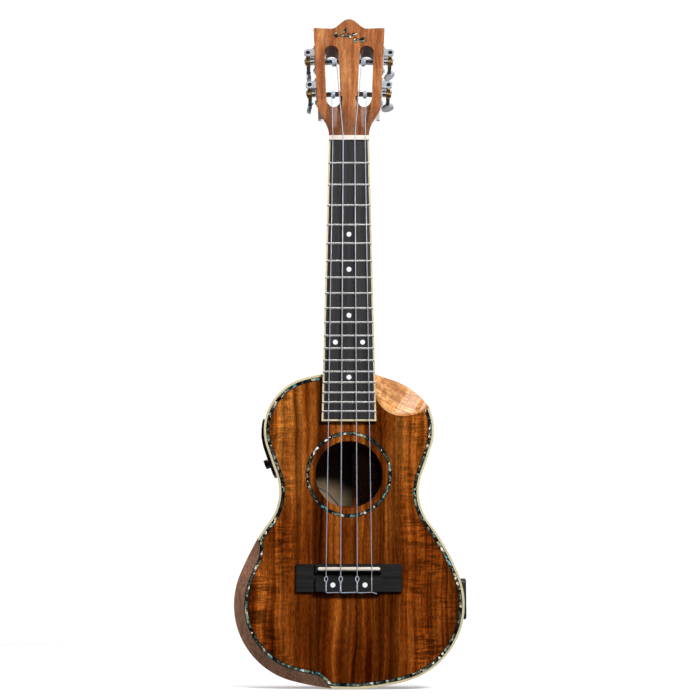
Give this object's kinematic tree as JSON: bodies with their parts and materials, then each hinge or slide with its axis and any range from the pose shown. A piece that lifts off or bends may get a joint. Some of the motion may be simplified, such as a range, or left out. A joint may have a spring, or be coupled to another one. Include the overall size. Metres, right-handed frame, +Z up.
{
  "type": "ukulele",
  "caption": "Concert ukulele with a figure-eight body, slotted headstock with open geared tuners, arm bevel, scooped cutaway and side preamp.",
  "frame": {"origin": "on the centreline, in the plane of the soundboard, at the front edge of the nut, where a wall hanger holds the neck", "axes": "+X to the treble side, +Y back through the body, +Z up the neck"},
  "size_m": [0.202, 0.0824, 0.6115],
  "materials": {
    "figured_top": "gloss lacquer",
    "figured_body": "gloss lacquer",
    "arm_rest_wood": "gloss lacquer",
    "scoop_wood": "gloss lacquer",
    "neck_wood": "satin lacquer",
    "head_wood": "gloss lacquer",
    "brace_spruce": "bare",
    "block_wood": "bare",
    "board_ebony": "oiled",
    "bridge_ebony": "satin",
    "cream_binding": "polished",
    "abalone": "polished shell",
    "black_line": "polished",
    "pearl": "polished shell",
    "bone": "polished",
    "fret_metal": "polished",
    "nylon": "clear",
    "chrome": "mirror",
    "worm_steel": "oiled",
    "brass": "polished",
    "black_plastic": "satin",
    "knob_plastic": "satin",
    "paper": "matt",
    "lead_rubber": "matt",
    "pickup_metal": "satin"
  },
  "bodies": {
    "instrument": {"soundboard": "figured_top", "back_plate": "figured_body", "side_bass": "figured_body", "side_treble": "figured_body", "top_binding": "cream_binding", "back_binding": "cream_binding", "purfling_abalone": "abalone", "purfling_black": "black_line", "rosette_abalone": "abalone", "rosette_black": "black_line", "arm_bevel": "arm_rest_wood", "cutaway_scoop": "scoop_wood", "neck_block": "block_wood", "tail_block": "block_wood", "kerfed_linings": "brace_spruce", "top_braces": "brace_spruce", "back_braces": "brace_spruce", "bridge_patch": "block_wood", "paper_label": "paper", "heel_cap": "black_line", "fretboard_binding": "cream_binding", "frets": "fret_metal", "saddle": "bone", "saddle_pickup": "pickup_metal", "fretboard": "board_ebony", "bridge": "bridge_ebony", "pearl_dots": "pearl", "nut": "bone", "string_g": "nylon", "string_c": "nylon", "string_e": "nylon", "string_a": "nylon", "neck": "neck_wood", "head_veneer": "head_wood", "tuner_plates": "chrome", "tuner_screws": "chrome", "preamp_panel": "black_plastic", "preamp_housing": "black_plastic", "jack_plate": "black_plastic", "jack_socket": "chrome", "pickup_lead": "lead_rubber"},
    "roller_body_1": {"string_roller_1": "chrome", "tuner_gear_1": "brass"},
    "button_body_1": {"tuner_worm_1": "worm_steel", "tuner_button_1": "chrome"},
    "roller_body_2": {"string_roller_2": "chrome", "tuner_gear_2": "brass"},
    "button_body_2": {"tuner_worm_2": "worm_steel", "tuner_button_2": "chrome"},
    "roller_body_3": {"string_roller_3": "chrome", "tuner_gear_3": "brass"},
    "button_body_3": {"tuner_worm_3": "worm_steel", "tuner_button_3": "chrome"},
    "roller_body_4": {"string_roller_4": "chrome", "tuner_gear_4": "brass"},
    "button_body_4": {"tuner_worm_4": "worm_steel", "tuner_button_4": "chrome"},
    "volume_body": {"volume_knob": "knob_plastic"},
    "tone_body": {"tone_knob": "knob_plastic"},
    "preamp_button_body": {"preamp_button": "knob_plastic"}
  },
  "joints": [
    {"name": "tuner_1_turn", "type": "hinge", "parent": "instrument", "child": "button_body_1", "pos_m": [0.03621, 0.01657, 0.05563], "axis": [0, 0.9703, -0.2419], "continuous": true},
    {"name": "roller_1_turn", "type": "hinge", "parent": "instrument", "child": "roller_body_1", "pos_m": [0.02959, 0.01516, 0.05], "axis": [0.9985, -0.0131, -0.0526], "continuous": true},
    {"name": "tuner_2_turn", "type": "hinge", "parent": "instrument", "child": "button_body_2", "pos_m": [-0.03621, 0.01657, 0.05563], "axis": [0, 0.9703, -0.2419], "continuous": true},
    {"name": "roller_2_turn", "type": "hinge", "parent": "instrument", "child": "roller_body_2", "pos_m": [-0.02959, 0.01516, 0.05], "axis": [-0.9985, -0.0131, -0.0526], "continuous": true},
    {"name": "tuner_3_turn", "type": "hinge", "parent": "instrument", "child": "button_body_3", "pos_m": [0.03813, 0.02508, 0.08978], "axis": [0, 0.9703, -0.2419], "continuous": true},
    {"name": "roller_3_turn", "type": "hinge", "parent": "instrument", "child": "roller_body_3", "pos_m": [0.0315, 0.02368, 0.08416], "axis": [0.9985, -0.0131, -0.0526], "continuous": true},
    {"name": "tuner_4_turn", "type": "hinge", "parent": "instrument", "child": "button_body_4", "pos_m": [-0.03813, 0.02508, 0.08978], "axis": [0, 0.9703, -0.2419], "continuous": true},
    {"name": "roller_4_turn", "type": "hinge", "parent": "instrument", "child": "roller_body_4", "pos_m": [-0.0315, 0.02368, 0.08416], "axis": [-0.9985, -0.0131, -0.0526], "continuous": true},
    {"name": "volume_turn", "type": "hinge", "parent": "instrument", "child": "volume_body", "pos_m": [-0.06836, 0.024, -0.2873], "axis": [-0.942, 0, -0.3355], "range_deg": [-140, 140]},
    {"name": "tone_turn", "type": "hinge", "parent": "instrument", "child": "tone_body", "pos_m": [-0.06836, 0.04, -0.2873], "axis": [-0.942, 0, -0.3355], "range_deg": [-140, 140]},
    {"name": "preamp_button_press", "type": "slide", "parent": "instrument", "child": "preamp_button_body", "axis": [0.9993, 0, 0.0375], "range_m": [0, 0.0008], "stiffness_N_per_m": 600}
  ],
  "couplings": [
    {"joint": "roller_1_turn", "follows": "tuner_1_turn", "ratio": 0.071429},
    {"joint": "roller_2_turn", "follows": "tuner_2_turn", "ratio": 0.071429},
    {"joint": "roller_3_turn", "follows": "tuner_3_turn", "ratio": 0.071429},
    {"joint": "roller_4_turn", "follows": "tuner_4_turn", "ratio": 0.071429}
  ]
}
